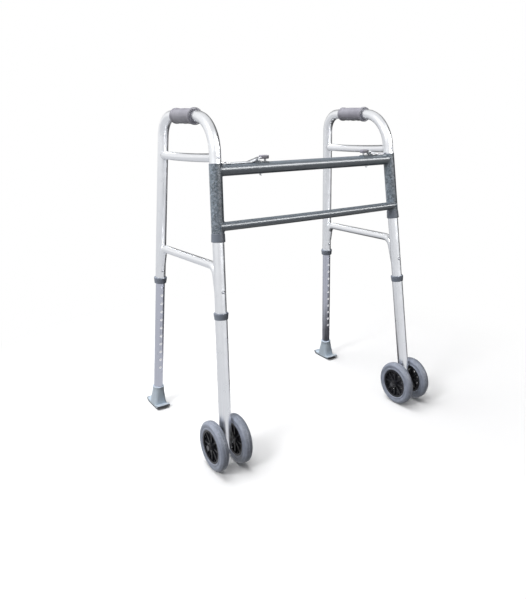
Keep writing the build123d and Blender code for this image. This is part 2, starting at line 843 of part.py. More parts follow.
with BuildPart() as axle_nut:
    with BuildSketch(axle_line.offset(-washer_end)):
        RegularPolygon(axle_head_radius, 6)
        Circle(axle_radius, mode=Mode.SUBTRACT)
    extrude(amount=-axle_nut_height)
write_pair(axle_nut.part, "axle_nut")


def wheel_hub(offset):
    """Moulded hub: rim, thin holed web, ribs on both faces, boss and a bore for the axle sleeve."""
    middle = axle_line.offset(offset)
    between = 180 / spoke_count
    with BuildPart() as hub:
        with BuildSketch(middle):
            Circle(rim_radius)
            Circle(rim_inner, mode=Mode.SUBTRACT)
        extrude(amount=rim_half, both=True)
        with BuildSketch(middle):
            Circle((rim_inner + rim_radius) / 2)
            with PolarLocations(hub_hole_ring, spoke_count, start_angle=between):
                Circle(hub_hole_radius, mode=Mode.SUBTRACT)
        extrude(amount=web_half, both=True)
        with BuildSketch(middle):
            with PolarLocations((boss_radius + rim_inner) / 2, spoke_count):
                Rectangle(rim_inner - boss_radius + web_half, spoke_width)
            with PolarLocations(rim_inner - short_rib_length / 3, spoke_count, start_angle=between):
                Rectangle(short_rib_length, short_rib_width)
        extrude(amount=rib_half, both=True)
        with BuildSketch(middle):
            Circle(boss_radius)
        extrude(amount=boss_half, both=True)
        with BuildSketch(middle):
            Circle(axle_sleeve_radius + axle_clearance)
        extrude(amount=boss_half, both=True, mode=Mode.SUBTRACT)
    return hub.part


def tyre(offset):
    """Solid tyre with round shoulders and two shallow grooves in its tread."""
    middle = axle_line.offset(offset)
    with BuildPart() as ring:
        with BuildSketch(middle):
            Circle(wheel_radius)
            Circle(rim_radius, mode=Mode.SUBTRACT)
        extrude(amount=tyre_width / 2, both=True)
        chamfer(ring.edges().filter_by(GeomType.CIRCLE).group_by(SortBy.RADIUS)[0], tyre_lip)
        fillet(ring.edges().filter_by(GeomType.CIRCLE).group_by(SortBy.RADIUS)[-1], tyre_shoulder)
        for across in (-tread_groove_place, tread_groove_place):
            with BuildSketch(middle.offset(across - tread_groove_width / 2)):
                Circle(wheel_radius)
                Circle(wheel_radius - tread_groove_depth, mode=Mode.SUBTRACT)
            extrude(amount=tread_groove_width, mode=Mode.SUBTRACT)
    return ring.part


for place, offset in (("outer", wheel_offset), ("inner", -wheel_offset)):
    write_pair(wheel_hub(offset), f"{place}_wheel_hub")
    write_pair(tyre(offset), f"{place}_tyre")
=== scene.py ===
"""Looks of the folding walking frame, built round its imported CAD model.

Everything is in metres in the model's own frame: X across, Y rearwards, Z up, floor at Z = 0.
"""

import json
from math import cos, pi, radians, sin, sqrt

import bpy
from mathutils import Matrix, Vector


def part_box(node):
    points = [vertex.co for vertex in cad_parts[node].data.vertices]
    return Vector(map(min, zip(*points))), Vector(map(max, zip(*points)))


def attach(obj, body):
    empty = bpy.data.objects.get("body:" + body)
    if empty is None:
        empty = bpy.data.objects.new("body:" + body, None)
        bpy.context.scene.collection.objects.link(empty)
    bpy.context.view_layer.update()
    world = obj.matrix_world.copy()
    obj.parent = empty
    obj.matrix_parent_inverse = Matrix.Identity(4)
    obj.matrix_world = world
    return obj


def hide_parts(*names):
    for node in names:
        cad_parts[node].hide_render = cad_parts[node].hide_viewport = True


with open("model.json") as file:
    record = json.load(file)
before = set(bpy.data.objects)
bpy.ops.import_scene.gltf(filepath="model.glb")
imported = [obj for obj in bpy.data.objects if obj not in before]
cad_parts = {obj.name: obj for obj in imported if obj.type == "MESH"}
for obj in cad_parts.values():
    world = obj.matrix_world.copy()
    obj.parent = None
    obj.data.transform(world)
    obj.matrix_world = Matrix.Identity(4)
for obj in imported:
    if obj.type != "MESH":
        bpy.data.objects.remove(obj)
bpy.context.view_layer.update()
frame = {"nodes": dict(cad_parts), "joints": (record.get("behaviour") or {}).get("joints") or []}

MM = 0.001
UP = Vector((0, 0, 1))
SIDES = ("left", "right")
JOINTS = {joint["name"]: joint for joint in frame["joints"]}


def put_in_scene(name, data):
    """A new object in the scene."""
    made = bpy.data.objects.new(name, data)
    bpy.context.scene.collection.objects.link(made)
    return made


# ---------------------------------------------------------------- measuring the frame


def joint_axis(name):
    """A joint's axis as a unit vector."""
    return Vector(JOINTS[name]["axis"]).normalized()


def joint_place(name):
    """The point that a hinge turns about."""
    return Vector(JOINTS[name]["pos_m"])


def middle(name):
    """Centre of a CAD node's box."""
    low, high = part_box(name)
    return (low + high) / 2


def leg_axis(side, end):
    """Unit vector up a front or rear leg."""
    return -joint_axis(f"{side}_{end}_leg_slide")


def handle_axis(side):
    """Unit vector rearwards along a side frame's handle."""
    side_normal = leg_axis(side, "front").cross(leg_axis(side, "rear"))
    level = UP.cross(side_normal).normalized()
    return level if level.y > 0 else -level


def end_centre(name, axis):
    """Centre of the round face where a turned CAD node begins along its axis."""
    points = [vertex.co for vertex in frame["nodes"][name].data.vertices]
    start = min(point.dot(axis) for point in points)
    ring = [point for point in points if point.dot(axis) < start + 0.1 * MM]
    return sum(ring, Vector()) / len(ring)


def reach(name, place, axis):
    """A CAD node's extent along an axis through a place, and its least and greatest radius about it."""
    along, radii = [], []
    for vertex in frame["nodes"][name].data.vertices:
        offset = vertex.co - place
        distance = offset.dot(axis)
        along.append(distance)
        radii.append((offset - axis * distance).length)
    return min(along), max(along), min(radii), max(radii)


# ---------------------------------------------------------------- node materials


class Recipe:
    """One procedural material: a Principled shader and short ways to add nodes to it."""

    def __init__(self, name, roughness, metallic=0.0):
        self.material = bpy.data.materials.new(name)
        self.material.use_nodes = True
        self.tree = self.material.node_tree
        self.shader = self.tree.nodes["Principled BSDF"]
        self.shader.inputs["Roughness"].default_value = roughness
        self.shader.inputs["Metallic"].default_value = metallic
        self.place = self.add("TexCoord").outputs["Object"]

    def add(self, kind, inputs=None, **settings):
        """A node of a kind, with its settings and its inputs set or linked."""
        node = self.tree.nodes.new("ShaderNode" + kind)
        for key, value in settings.items():
            setattr(node, key, value)
        for key, value in (inputs or {}).items():
            if isinstance(value, bpy.types.NodeSocket):
                self.tree.links.new(value, node.inputs[key])
            else:
                node.inputs[key].default_value = value
        return node

    def math(self, operation, first, second=0.0):
        """A math node's result."""
        return self.add("Math", {0: first, 1: second}, operation=operation).outputs[0]

    def remap(self, value, low, high, to_low=0.0, to_high=1.0):
        """A value carried smoothly from one range to another."""
        inputs = {"Value": value, 1: low, 2: high, 3: to_low, 4: to_high}
        return self.add("MapRange", inputs, interpolation_type="SMOOTHSTEP").outputs[0]

    def blend(self, factor, first, second):
        """Two values mixed."""
        kept = self.math("MULTIPLY", first, self.math("SUBTRACT", 1.0, factor))
        return self.math("ADD", kept, self.math("MULTIPLY", second, factor))

    def dot(self, first, second):
        """The dot product of two vectors."""
        return self.add("VectorMath", {0: first, 1: second}, operation="DOT_PRODUCT").outputs["Value"]

    def length(self, vector):
        """A vector's length."""
        return self.add("VectorMath", {0: vector}, operation="LENGTH").outputs["Value"]

    def mix(self, factor, first, second):
        """Two colours mixed."""
        node = self.add("Mix", {"Factor": factor}, data_type="RGBA")
        for socket, value in ((node.inputs[6], first), (node.inputs[7], second)):
            if isinstance(value, bpy.types.NodeSocket):
                self.tree.links.new(value, socket)
            else:
                socket.default_value = (*value, 1.0)
        return node.outputs[2]

    def stretched(self, axis, across, along):
        """Coordinates whose patterns repeat at one rate round an axis and another along it."""
        turn = UP.rotation_difference(axis).to_euler()
        scale = (1 / across, 1 / across, 1 / along)
        inputs = {"Vector": self.place, "Rotation": turn, "Scale": scale}
        return self.add("Mapping", inputs, vector_type="TEXTURE").outputs[0]

    def noise(self, scale, detail=4.0, roughness=0.55, place=None):
        """Fractal noise about 0.5."""
        inputs = {"Vector": place or self.place, "Scale": scale, "Detail": detail, "Roughness": roughness}
        return self.add("TexNoise", inputs).outputs["Fac"]

    def cells(self, scale, smoothness=0.6):
        """Rounded cells: distance to the middle of the nearest one."""
        inputs = {"Vector": self.place, "Scale": scale, "Smoothness": smoothness}
        return self.add("TexVoronoi", inputs, feature="SMOOTH_F1").outputs["Distance"]

    def edges(self, radius=0.9 * MM, samples=4):
        """1 on sharp edges and 0 on open faces."""
        rounded = self.add("Bevel", {"Radius": radius}, samples=samples).outputs[0]
        true = self.add("NewGeometry").outputs["Normal"]
        return self.remap(self.dot(rounded, true), 0.985, 0.86)

    def height(self, value, depth, strength=1.0, below=None):
        """Bump from a height value, over an earlier bump."""
        inputs = {"Height": value, "Distance": depth, "Strength": strength}
        if below:
            inputs["Normal"] = below
        return self.add("Bump", inputs).outputs[0]

    def finish(self, colour, roughness=None, normal=None, **others):
        """Link the results to the shader and give back the material."""
        wanted = {"Base Color": colour, "Roughness": roughness, "Normal": normal}
        wanted.update({key.replace("_", " "): value for key, value in others.items()})
        for key, value in wanted.items():
            if value is None:
                continue
            if isinstance(value, bpy.types.NodeSocket):
                self.tree.links.new(value, self.shader.inputs[key])
            elif isinstance(value, tuple):
                self.shader.inputs[key].default_value = (*value, 1.0)
            else:
                self.shader.inputs[key].default_value = value
        return self.material

    def surface(self, shader):
        """Show another shader instead of the Principled one."""
        self.tree.links.new(shader, self.tree.nodes["Material Output"].inputs["Surface"])


SCUFF_FADE = 20 * MM  # over which the wear on a lower leg fades out
LINES_ROUND, LINES_ALONG = 1100, 9  # how often draw lines change round a tube and along it, per metre
TYRE_SIDE, TYRE_TREAD = 60.0 * MM, 62.8 * MM  # radii between which the side wall gives way to the tread


def anodised(name, lines, scuff_low=None, scuff_high=None, painted_shade_tone=(1.0, 1.0, 1.0)):
    """Satin clear anodised aluminium: faint draw lines along the tube, wear between two heights, and a tone
    that darkens all its colours as painted shade.
    """

    def toned(colour):
        return tuple(share * level for share, level in zip(colour, painted_shade_tone))

    recipe = Recipe(name, 0.3, 1.0)
    drawn = lines(recipe)
    etched = recipe.noise(2600, 3)
    clouds = recipe.noise(9, 3, 0.5)
    smears = recipe.noise(38, 5, 0.65)
    colour = recipe.mix(clouds, toned((0.83, 0.845, 0.875)), toned((0.90, 0.91, 0.93)))
    colour = recipe.mix(recipe.remap(drawn, 0.35, 0.75, 0.0, 0.42), colour, toned((0.66, 0.675, 0.70)))
    smeared = recipe.remap(smears, 0.3, 0.75, 0.22, 0.34)
    roughness = recipe.math("ADD", smeared, recipe.math("MULTIPLY", drawn, 0.10))
    if scuff_low is not None:
        height = recipe.add("SeparateXYZ", {"Vector": recipe.place}).outputs["Z"]
        zone = recipe.math(
            "MULTIPLY",
            recipe.remap(height, scuff_low - SCUFF_FADE, scuff_low),
            recipe.remap(height, scuff_high + SCUFF_FADE, scuff_high),
        )
        scratch = recipe.remap(recipe.noise(1, 6, 0.75, recipe.stretched(UP, 1500, 24)), 0.60, 0.68)
        worn = recipe.math("MULTIPLY", recipe.math("MULTIPLY", scratch, zone), 0.55)
        colour = recipe.mix(worn, colour, (0.42, 0.43, 0.45))
        roughness = recipe.math("ADD", roughness, recipe.math("MULTIPLY", worn, 0.25))
    edge = recipe.edges()
    colour = recipe.mix(recipe.math("MULTIPLY", edge, 0.5), colour, (0.93, 0.94, 0.95))
    normal = recipe.height(drawn, 0.02 * MM, 0.5)
    normal = recipe.height(etched, 0.02 * MM, 0.35, normal)
    return recipe.finish(colour, roughness, normal)


def drawn_along(recipe, axis):
    """Draw lines along an axis."""
    return recipe.noise(1, 4, 0.6, recipe.stretched(axis, LINES_ROUND, LINES_ALONG))


def straight_lines(axis):
    """Draw lines of a straight tube."""
    return lambda recipe: drawn_along(recipe, axis)


def hoop_lines(side):
    """Draw lines that follow a side frame's bent tube: up the front leg, along the handle, down the rear."""

    def lines(recipe):
        axes = (leg_axis(side, "front"), leg_axis(side, "rear"), handle_axis(side))
        front, rear, top = (drawn_along(recipe, axis) for axis in axes)
        low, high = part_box(f"side_tube_{side}")
        place = recipe.add("SeparateXYZ", {"Vector": recipe.place}).outputs
        centre = (low.y + high.y) / 2
        is_rear = recipe.remap(place["Y"], centre - 20 * MM, centre + 20 * MM)
        is_top = recipe.remap(place["Z"], high.z - 110 * MM, high.z - 50 * MM)
        return recipe.blend(is_top, recipe.blend(is_rear, front, rear), top)

    return lines


def hammertone(name, grain, speckle, roughness, coat):
    """Slate hammertone paint on steel: dimpled, flecked with silver, chipped through at the edges."""
    recipe = Recipe(name, roughness)
    dimples = recipe.cells(470 * grain, smoothness=0.8)
    ripple = recipe.noise(900, 3, 0.6)
    mottle = recipe.noise(330 * grain, 4, 0.7)
    flecks = recipe.remap(recipe.noise(1500 * grain, 2, 0.5), 0.60 - 0.03 * speckle, 0.68)
    tint = recipe.add("TexVoronoi", {"Vector": recipe.place, "Scale": 470.0 * grain}).outputs["Color"]
    shade = recipe.add("SeparateColor", {"Color": tint}).outputs[0]
    dark, light = (0.090, 0.115, 0.142), (0.150, 0.182, 0.218)
    deep = tuple(c * (1 - 0.35 * speckle) for c in dark)
    pale = tuple(c * (1 + 1.9 * speckle) for c in light)
    colour = recipe.mix(recipe.remap(shade, 0.0, 1.0), deep, pale)
    colour = recipe.mix(recipe.remap(mottle, 0.35, 0.65, 0.0, 0.55), colour, dark)
    colour = recipe.mix(recipe.remap(dimples, 0.1, 0.55, 0.0, 0.5), colour, light)
    colour = recipe.mix(recipe.math("MULTIPLY", flecks, 0.35 + 0.5 * speckle), colour, (0.62, 0.65, 0.70))
    edge = recipe.edges(1.0 * MM)
    chips = recipe.remap(recipe.noise(420, 5, 0.7), 0.54, 0.62)
    bare = recipe.math("MULTIPLY", edge, chips)
    colour = recipe.mix(bare, colour, (0.50, 0.51, 0.52))
    rough = recipe.remap(ripple, 0.3, 0.7, roughness - 0.06, roughness + 0.08)
    normal = recipe.height(dimples, (0.14 + 0.25 * speckle) * MM, 0.85)
    normal = recipe.height(ripple, 0.05 * MM, 0.6, normal)
    return recipe.finish(colour, rough, normal, Coat_Weight=coat, Coat_Roughness=0.20, Metallic=bare)


def moulded(name, dark, light, roughness, grain=1500, depth=0.04, wear=None, coat=0.0, painted_glow=0.0):
    """Moulded plastic or rubber: spark-eroded grain, soft flow marks, dust and rubbed edges, and, when asked
    for, a painted glow in its light colour.
    """
    recipe = Recipe(name, roughness)
    pebbles = recipe.cells(grain, smoothness=0.5)
    fine = recipe.noise(grain * 2.2, 3)
    flow = recipe.noise(22, 4, 0.55)
    rub = recipe.noise(160, 5, 0.7)
    colour = recipe.mix(recipe.remap(flow, 0.3, 0.7), dark, light)
    colour = recipe.mix(recipe.remap(pebbles, 0.25, 0.7, 0.0, 0.18), colour, tuple(0.6 * c for c in dark))
    edge = recipe.edges(0.8 * MM)
    worn = recipe.math("MULTIPLY", edge, recipe.remap(rub, 0.42, 0.62))
    rubbed = wear or tuple(min(1.0, 1.5 * c + 0.02) for c in light)
    colour = recipe.mix(recipe.math("MULTIPLY", worn, 0.6), colour, rubbed)
    rough = recipe.remap(rub, 0.3, 0.7, roughness - 0.06, roughness + 0.10)
    normal = recipe.height(pebbles, depth * MM, 0.8)
    normal = recipe.height(fine, 0.4 * depth * MM, 0.5, normal)
    # The emission is painted light: the part glows though it is no lamp.
    return recipe.finish(colour, rough, normal, Coat_Weight=coat, Coat_Roughness=0.25,
                         Emission_Color=light, Emission_Strength=painted_glow)


def plated(name, dark, light, roughness, axis=UP):
    """Zinc-plated or bare steel: slight colour drift, rolling lines and scattered pits."""
    recipe = Recipe(name, roughness, 1.0)
    drift = recipe.noise(70, 4, 0.6)
    lines = recipe.noise(1, 3, 0.6, recipe.stretched(axis, 1800, 60))
    pits = recipe.remap(recipe.noise(1500, 2), 0.66, 0.74)
    colour = recipe.mix(drift, dark, light)
    colour = recipe.mix(recipe.math("MULTIPLY", pits, 0.5), colour, tuple(0.35 * c for c in dark))
    rough = recipe.math("ADD", recipe.remap(drift, 0.3, 0.7, roughness - 0.06, roughness + 0.06),
                        recipe.math("MULTIPLY", lines, 0.12))
    normal = recipe.height(lines, 0.02 * MM, 0.6)
    return recipe.finish(colour, rough, normal)


def tyre_rubber(place):
    """Grey non-marking rubber: fine moulded grain, a scuffed and dusty tread, cleaner side walls."""
    recipe = Recipe("tyre_rubber", 0.55)
    fine = recipe.noise(1900, 4, 0.6)
    mottle = recipe.noise(60, 5, 0.6)
    specks = recipe.remap(recipe.noise(700, 3, 0.6), 0.63, 0.72)
    soiled, clean = (0.225, 0.250, 0.315), (0.320, 0.350, 0.430)
    colour = recipe.mix(recipe.remap(mottle, 0.3, 0.7), soiled, clean)
    offset = {0: recipe.place, 1: tuple(place)}
    from_centre = recipe.add("VectorMath", offset, operation="SUBTRACT").outputs[0]
    square_to_axle = {0: from_centre, 1: (0, 1, 1)}
    from_axle = recipe.add("VectorMath", square_to_axle, operation="MULTIPLY").outputs[0]
    tread = recipe.remap(recipe.length(from_axle), TYRE_SIDE, TYRE_TREAD)
    dust = recipe.math("MULTIPLY", tread, recipe.remap(recipe.noise(240, 5, 0.7), 0.40, 0.62))
    colour = recipe.mix(recipe.math("MULTIPLY", dust, 0.5), colour, (0.145, 0.15, 0.165))
    colour = recipe.mix(recipe.math("MULTIPLY", specks, 0.35), colour, (0.12, 0.13, 0.15))
    rough = recipe.remap(mottle, 0.3, 0.7, 0.46, 0.60)
    rough = recipe.math("ADD", rough, recipe.math("MULTIPLY", dust, 0.2))
    scuff_depth = recipe.math("MULTIPLY", tread, 0.16 * MM)
    normal = recipe.height(fine, 0.05 * MM, 0.7)
    normal = recipe.height(recipe.noise(420, 4, 0.7), scuff_depth, 0.8, normal)
    return recipe.finish(colour, rough, normal, Coat_Weight=0.35, Coat_Roughness=0.30)


def give(material, *names):
    """Put a material on CAD nodes."""
    for name in names:
        mesh_object = frame["nodes"][name]
        if not mesh_object.material_slots:
            mesh_object.data.materials.append(None)
        for slot in mesh_object.material_slots:
            slot.link = "OBJECT"
            slot.material = material


def both(name):
    """A paired CAD node's two names."""
    return [f"{name}_{side}" for side in SIDES]


PAINT = hammertone("hammertone_bar", 1.0, 0.12, 0.30, 0.6)
SLEEVE_PAINT = hammertone("hammertone_sleeve", 0.45, 0.9, 0.38, 0.3)
# Painted light: the liner glows at strength 0.45 so that the holes in the rear legs show white.
LINER = moulded("liner_nylon", (0.96, 0.96, 0.95), (0.98, 0.98, 0.98), 0.30, 1600, 0.02, painted_glow=0.45)
GRIP = moulded("grip_vinyl", (0.215, 0.210, 0.248), (0.290, 0.285, 0.330), 0.42, 1300, 0.07, coat=0.2)
COLLAR = moulded("collar_plastic", (0.195, 0.222, 0.272), (0.275, 0.305, 0.370), 0.40, 1700, 0.04)
PAD = moulded("pad_plastic", (0.215, 0.208, 0.250), (0.315, 0.305, 0.360), 0.42, 1700, 0.04)
HUB = moulded("hub_plastic", (0.0075, 0.0080, 0.011), (0.014, 0.015, 0.020), 0.42, 1500, 0.03,
              wear=(0.06, 0.065, 0.08), coat=0.05)
GLIDE = moulded("glide_plastic", (0.50, 0.58, 0.66), (0.60, 0.68, 0.76), 0.42, 1400, 0.04)
SOLE = moulded("sole_rubber", (0.030, 0.034, 0.040), (0.055, 0.060, 0.068), 0.66, 900, 0.09)
STEEL = plated("plated_steel", (0.62, 0.63, 0.64), (0.80, 0.81, 0.82), 0.26)
AXLE_STEEL = plated("axle_steel", (0.09, 0.09, 0.10), (0.19, 0.19, 0.20), 0.38)
BUTTON_STEEL = plated("button_steel", (0.36, 0.37, 0.40), (0.50, 0.51, 0.54), 0.16)
SPRING = plated("spring_steel", (0.38, 0.39, 0.41), (0.55, 0.56, 0.58), 0.34)
LEVER = plated("lever_steel", (0.56, 0.575, 0.60), (0.74, 0.755, 0.78), 0.33, Vector((1, 0, 0)))

# Painted shade: the rear lower legs are the same aluminium as the front ones, darkened and tinted blue-lilac
# to stand for the shade on them.
LOWER_LEG_PAINTED_SHADE = {"front": (1.0, 1.0, 1.0), "rear": (0.66, 0.67, 0.74)}
SCUFF_LENGTH = 120 * MM  # how far below the collar a lower leg is worn by sliding in and out

for side in SIDES:
    tube = anodised(f"anodised_hoop_{side}", hoop_lines(side))
    brace = anodised(f"anodised_brace_{side}", straight_lines(handle_axis(side)))
    give(tube, f"side_tube_{side}")
    give(brace, f"upper_brace_{side}", f"lower_brace_{side}")
    collar_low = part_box(f"leg_collars_{side}")[0].z
    for end, node in (("front", "wheel_stem"), ("rear", "rear_leg_extension")):
        leg = anodised(
            f"anodised_{end}_leg_{side}",
            straight_lines(leg_axis(side, end)),
            collar_low - SCUFF_LENGTH,
            collar_low,
            LOWER_LEG_PAINTED_SHADE[end],
        )
        give(leg, f"{node}_{side}")

give(PAINT, "upper_crossbar", "lower_crossbar", "lever_brackets")
give(SLEEVE_PAINT, *both("sleeve"))
give(LINER, *both("leg_liner"))
give(GRIP, *both("hand_grip"))
give(COLLAR, *both("thrust_collar"), *both("leg_collars"), "sleeve_bushings")
give(HUB, *both("outer_wheel_hub"), *both("inner_wheel_hub"))
give(GLIDE, *both("glide_foot"))
give(SOLE, *both("glide_sole"))
give(STEEL, *both("axle_spacers"), "lever_fixings")
give(AXLE_STEEL, *both("axle_bolt"), *both("axle_nut"), *both("axle_washers"))
give(BUTTON_STEEL, *both("snap_button_front"), *both("snap_button_rear"), *both("tube_rivets"))
give(SPRING, "lever_springs", *both("snap_clip_front"), *both("snap_clip_rear"))
give(LEVER, *both("release_lever"))


# ---------------------------------------------------------------- making pieces


def frame_about(axis):
    """Two unit vectors square to an axis and to each other."""
    first = axis.cross(UP) if abs(axis.z) < 0.9 else axis.cross(Vector((0, 1, 0)))
    first.normalize()
    return first, axis.cross(first).normalized()


def piece(name, points, faces, material, body, stands_for=()):
    """A mesh piece in the model's own frame that rides on a body."""
    mesh = bpy.data.meshes.new(name)
    mesh.from_pydata(points, [], faces)
    mesh.materials.append(material)
    mesh.shade_smooth()
    made = put_in_scene(name, mesh)
    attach(made, body)
    if stands_for:
        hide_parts(*stands_for)


def grid_faces(rows, columns, closed_rows, closed_columns):
    """Quads of a grid of points, wrapped round in either direction."""
    faces = []
    for row in range(rows if closed_rows else rows - 1):
        for column in range(columns if closed_columns else columns - 1):
            below = (row + 1) % rows
            beside = (column + 1) % columns
            faces.append((row * columns + column, row * columns + beside,
                          below * columns + beside, below * columns + column))
    return faces


def rounded(corners, steps=5):
    """A closed outline of (along, radius, rounding) corners, each turned into a short arc."""
    outline = []
    for index, (along, radius, rounding) in enumerate(corners):
        here = Vector((along, radius))
        before = Vector(corners[index - 1][:2]) - here
        after = Vector(corners[(index + 1) % len(corners)][:2]) - here
        cut = min(rounding, 0.49 * min(before.length, after.length))
        if cut < 1e-7:
            outline.append(here)
            continue
        start = here + before.normalized() * cut
        end = here + after.normalized() * cut
        for step in range(steps + 1):
            share = step / steps
            outline.append(start * (1 - share) ** 2 + here * 2 * share * (1 - share) + end * share**2)
    return outline


def lathe(outline, place, axis, steps, relief=None):
    """Points and faces of a closed outline turned about an axis; relief adds to a point's radius."""
    first, second = frame_about(axis)
    points = []
    for step in range(steps):
        angle = 2 * pi * step / steps
        ray = first * cos(angle) + second * sin(angle)
        for along, radius in outline:
            extra = relief(along, radius, angle, ray) if relief else 0.0
            points.append(place + axis * along + ray * (radius + extra))
    return points, grid_faces(steps, len(outline), True, True)


# ---------------------------------------------------------------- hand grips

RING_WIDTH = 8.6 * MM  # of the thick ring at each end of a grip
RING_EDGE = 10.4 * MM  # where the slope down from the ring has reached the waist
WAIST_DEPTH = 2.6 * MM  # of the waist below the front ring
WAIST_SAG = 0.3 * MM  # how much deeper the waist starts and ends
WAIST_CROWN = 0.7 * MM  # how far its middle rises from there
REAR_RING_DROP = 1.2 * MM  # how much smaller the rear ring is
RING_ROUNDING = 2.2 * MM
BORE_GAP = 0.1 * MM  # between grip and tube
WAIST_STEPS = 40
GRIP_STEPS = 192  # round a grip
FINGER_DEPTH = 0.40 * MM
FINGER_WAVES = 4
SEAM_HEIGHT = 0.22 * MM
SEAM_HALF_WIDTH = 0.022  # as a share of the radius


def hand_grip(side):
    """Vinyl grip: a thick ring at each end, a crowned waist with shallow finger waves and two seams."""
    axis = handle_axis(side)
    place = end_centre(f"hand_grip_{side}", axis)
    start, end, bore = reach(f"hand_grip_{side}", place, axis)[:3]
    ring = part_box(f"hand_grip_{side}")[1].z - place.z
    length = end - start
    waist = ring - WAIST_DEPTH
    rear_ring = ring - REAR_RING_DROP
    corners = [
        (start, bore + BORE_GAP, 0),
        (start, ring, RING_ROUNDING),
        (start + RING_WIDTH, ring, 1.8 * MM),
        (start + RING_EDGE, waist - WAIST_SAG, 2.0 * MM),
    ]
    for step in range(1, WAIST_STEPS):
        share = step / WAIST_STEPS
        along = start + RING_EDGE + share * (length - 2 * RING_EDGE)
        corners.append((along, waist - WAIST_SAG + WAIST_CROWN * sin(pi * share), 0))
    corners += [
        (end - RING_EDGE, waist - WAIST_SAG, 2.0 * MM),
        (end - RING_WIDTH, rear_ring, 1.8 * MM),
        (end, rear_ring, RING_ROUNDING),
        (end, bore + BORE_GAP, 0),
    ]

    def relief(along, radius, angle, ray):
        """Finger waves underneath and a seam at each side, on the waist only."""
        if not waist - 1.0 * MM <= radius < rear_ring - 0.3 * MM:
            return 0.0
        share = (along - start) / length
        from_end = min(share, 1 - share) * length
        inside = min(1.0, max(0.0, from_end / (10.5 * MM) - 0.6))  # the waves fade out by the rings
        fingers = FINGER_DEPTH * max(0.0, -ray.z) * cos(2 * pi * FINGER_WAVES * share) * inside
        seam = SEAM_HEIGHT * max(0.0, 1 - abs(ray.z) / SEAM_HALF_WIDTH)
        return fingers + seam

    points, faces = lathe(rounded(corners), place, axis, GRIP_STEPS, relief)
    piece(f"grip_{side}", points, faces, GRIP, f"{side}_side_frame", [f"hand_grip_{side}"])


# ---------------------------------------------------------------- tyres

TYRE_HALF = 12.0 * MM  # half the width that the outline below is drawn at
TYRE_STEPS = 432  # round a tyre
NOTCHES = 72  # small notches round each shoulder
NOTCH_DEPTH = 0.30 * MM


def tyre(side, which):
    """Solid rubber tyre: bead ring by the hub, dished side walls, stepped shoulders, grooved crown."""
    node = f"{which}_tyre_{side}"
    axis = Vector((1, 0, 0))
    centre = joint_place(f"{side}_{which}_wheel_spin")
    place = Vector((middle(node).x, centre.y, centre.z))
    half, rim, outer = reach(node, place, axis)[1:]
    half_outline = [  # distance from the middle, radius and rounding, from the crown in to the rim
        (0.0, outer, 0.0),
        (2.7 * MM, outer - 0.05 * MM, 0.0),
        (2.9 * MM, outer - 0.9 * MM, 0.25 * MM),
        (3.9 * MM, outer - 0.95 * MM, 0.25 * MM),
        (4.1 * MM, outer - 0.25 * MM, 0.25 * MM),
        (6.6 * MM, outer - 1.0 * MM, 1.2 * MM),
        (8.6 * MM, outer - 2.6 * MM, 1.2 * MM),
        (9.6 * MM, outer - 4.4 * MM, 0.5 * MM),
        (10.6 * MM, outer - 4.9 * MM, 0.5 * MM),
        (11.5 * MM, outer - 6.6 * MM, 0.9 * MM),
        (11.9 * MM, outer - 9.5 * MM, 1.2 * MM),
        (11.2 * MM, outer - 13.6 * MM, 1.0 * MM),
        (10.6 * MM, rim + 6.2 * MM, 0.6 * MM),
        (11.6 * MM, rim + 4.6 * MM, 0.9 * MM),
        (12.0 * MM, rim + 2.6 * MM, 1.0 * MM),
        (11.3 * MM, rim + 0.9 * MM, 0.6 * MM),
        (10.4 * MM, rim, 0.2 * MM),
    ]
    scale = half / TYRE_HALF
    right = [(along * scale, radius, rounding) for along, radius, rounding in half_outline]
    left = [(-along, radius, rounding) for along, radius, rounding in reversed(right[1:])]
    outline = rounded(right + left)

    def relief(along, radius, angle, ray):
        """Notches round the shoulders."""
        if radius > outer - 3.2 * MM and abs(along) > 5.0 * MM:
            return -NOTCH_DEPTH * max(0.0, cos(NOTCHES * angle)) ** 6
        return 0.0

    points, faces = lathe(outline, place, axis, TYRE_STEPS, relief)
    rubber = tyre_rubber(place)
    body = f"{side}_{which}_wheel"
    piece(f"rubber_{which}_{side}", points, faces, rubber, body, [node])


for side in SIDES:
    hand_grip(side)
    for which in ("outer", "inner"):
        tyre(side, which)


# ---------------------------------------------------------------- weld beads

WELD_STEPS = 220  # along a bead
WELD_RING = 8  # round it
CROSSBAR_BEAD = 1.4 * MM  # a bead's own radius
BRACE_BEAD = 1.1 * MM
BRACE_RADIUS = 10.6 * MM
SIDE_TUBE_RADIUS = 14.3 * MM


